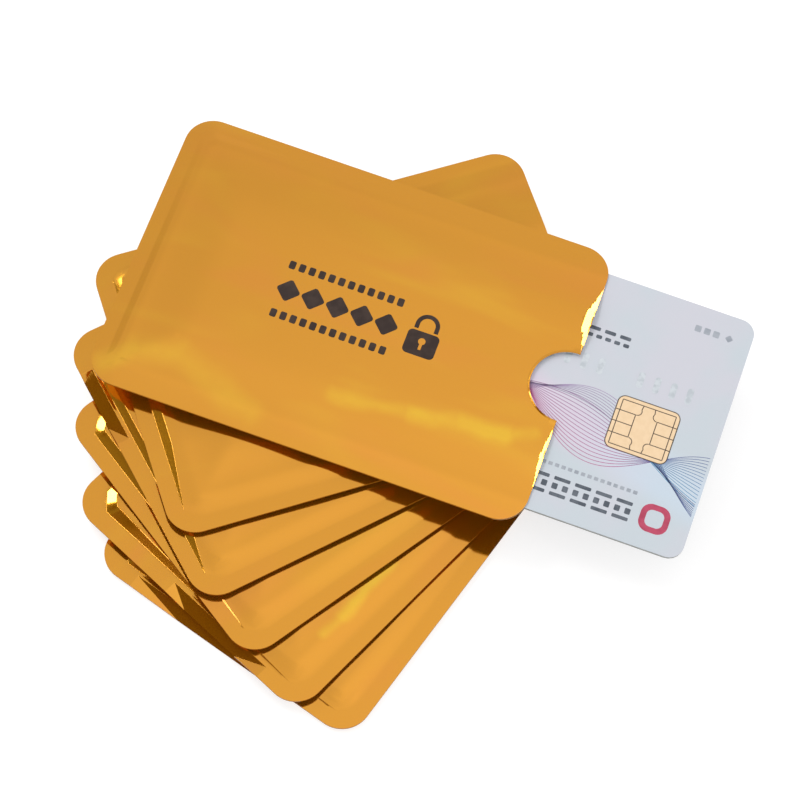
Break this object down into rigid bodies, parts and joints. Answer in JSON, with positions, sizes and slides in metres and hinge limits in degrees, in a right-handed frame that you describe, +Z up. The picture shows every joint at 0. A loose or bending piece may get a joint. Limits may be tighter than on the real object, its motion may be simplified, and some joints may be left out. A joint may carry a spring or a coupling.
{
  "type": "rfid blocking card sleeve set",
  "caption": "Fanned stack of formed foil card sleeves with thumb notches, a bank card standing out of the mouth of the top sleeve.",
  "frame": {"origin": "under the middle of the fan's bounding box, on the surface it lies on", "axes": "+X along the top sleeve towards its mouth and the card, +Z up"},
  "size_m": [0.1292, 0.125, 0.0145],
  "materials": {
    "gold_film": "metallised gold film, glossy, faint iridescence",
    "shield_foil": "bright rolled foil",
    "seal_film": "clear heat-seal film",
    "card_overlay": "satin laminated card face, printed",
    "card_core": "white card sheet",
    "card_inlay": "thin inlay sheet",
    "contact_plating": "pale gold plating on copper",
    "chip_potting": "black epoxy potting",
    "antenna_copper": "etched copper",
    "stripe_tape": "dark magnetic tape"
  },
  "bodies": {
    "sleeve_1": {"sleeve_1_front_film": "gold_film", "sleeve_1_front_foil": "shield_foil", "sleeve_1_inner_pouch": "seal_film", "sleeve_1_back_foil": "shield_foil", "sleeve_1_back_film": "gold_film"},
    "sleeve_2": {"sleeve_2_front_film": "gold_film", "sleeve_2_front_foil": "shield_foil", "sleeve_2_inner_pouch": "seal_film", "sleeve_2_back_foil": "shield_foil", "sleeve_2_back_film": "gold_film"},
    "sleeve_3": {"sleeve_3_front_film": "gold_film", "sleeve_3_front_foil": "shield_foil", "sleeve_3_inner_pouch": "seal_film", "sleeve_3_back_foil": "shield_foil", "sleeve_3_back_film": "gold_film"},
    "sleeve_4": {"sleeve_4_front_film": "gold_film", "sleeve_4_front_foil": "shield_foil", "sleeve_4_inner_pouch": "seal_film", "sleeve_4_back_foil": "shield_foil", "sleeve_4_back_film": "gold_film"},
    "sleeve_5": {"sleeve_5_front_film": "gold_film", "sleeve_5_front_foil": "shield_foil", "sleeve_5_inner_pouch": "seal_film", "sleeve_5_back_foil": "shield_foil", "sleeve_5_back_film": "gold_film"},
    "sleeve_6": {"sleeve_6_front_film": "gold_film", "sleeve_6_front_foil": "shield_foil", "sleeve_6_inner_pouch": "seal_film", "sleeve_6_back_foil": "shield_foil", "sleeve_6_back_film": "gold_film"},
    "card": {"card_back_overlay": "card_overlay", "card_back_core": "card_core", "card_antenna_inlay": "card_inlay", "card_antenna_coil": "antenna_copper", "card_front_core": "card_core", "card_front_overlay": "card_overlay", "card_chip_body": "chip_potting", "card_contact_plate": "contact_plating", "card_magnetic_stripe": "stripe_tape"}
  },
  "joints": [
    {"name": "card_slide", "type": "slide", "parent": "sleeve_1", "child": "card", "axis": [0.9997, 0, -0.0262], "range_m": [-0.03275, 0.056]},
    {"name": "sleeve_1_lift", "type": "slide", "parent": "sleeve_2", "child": "sleeve_1", "axis": [0, 0, 1], "range_m": [0, 0.03]},
    {"name": "sleeve_2_lift", "type": "slide", "parent": "sleeve_3", "child": "sleeve_2", "axis": [0, 0, 1], "range_m": [0, 0.03]},
    {"name": "sleeve_3_lift", "type": "slide", "parent": "sleeve_4", "child": "sleeve_3", "axis": [0, 0, 1], "range_m": [0, 0.03]},
    {"name": "sleeve_4_lift", "type": "slide", "parent": "sleeve_5", "child": "sleeve_4", "axis": [0, 0, 1], "range_m": [0, 0.03]},
    {"name": "sleeve_5_lift", "type": "slide", "parent": "sleeve_6", "child": "sleeve_5", "axis": [0, 0, 1], "range_m": [0, 0.03]}
  ]
}
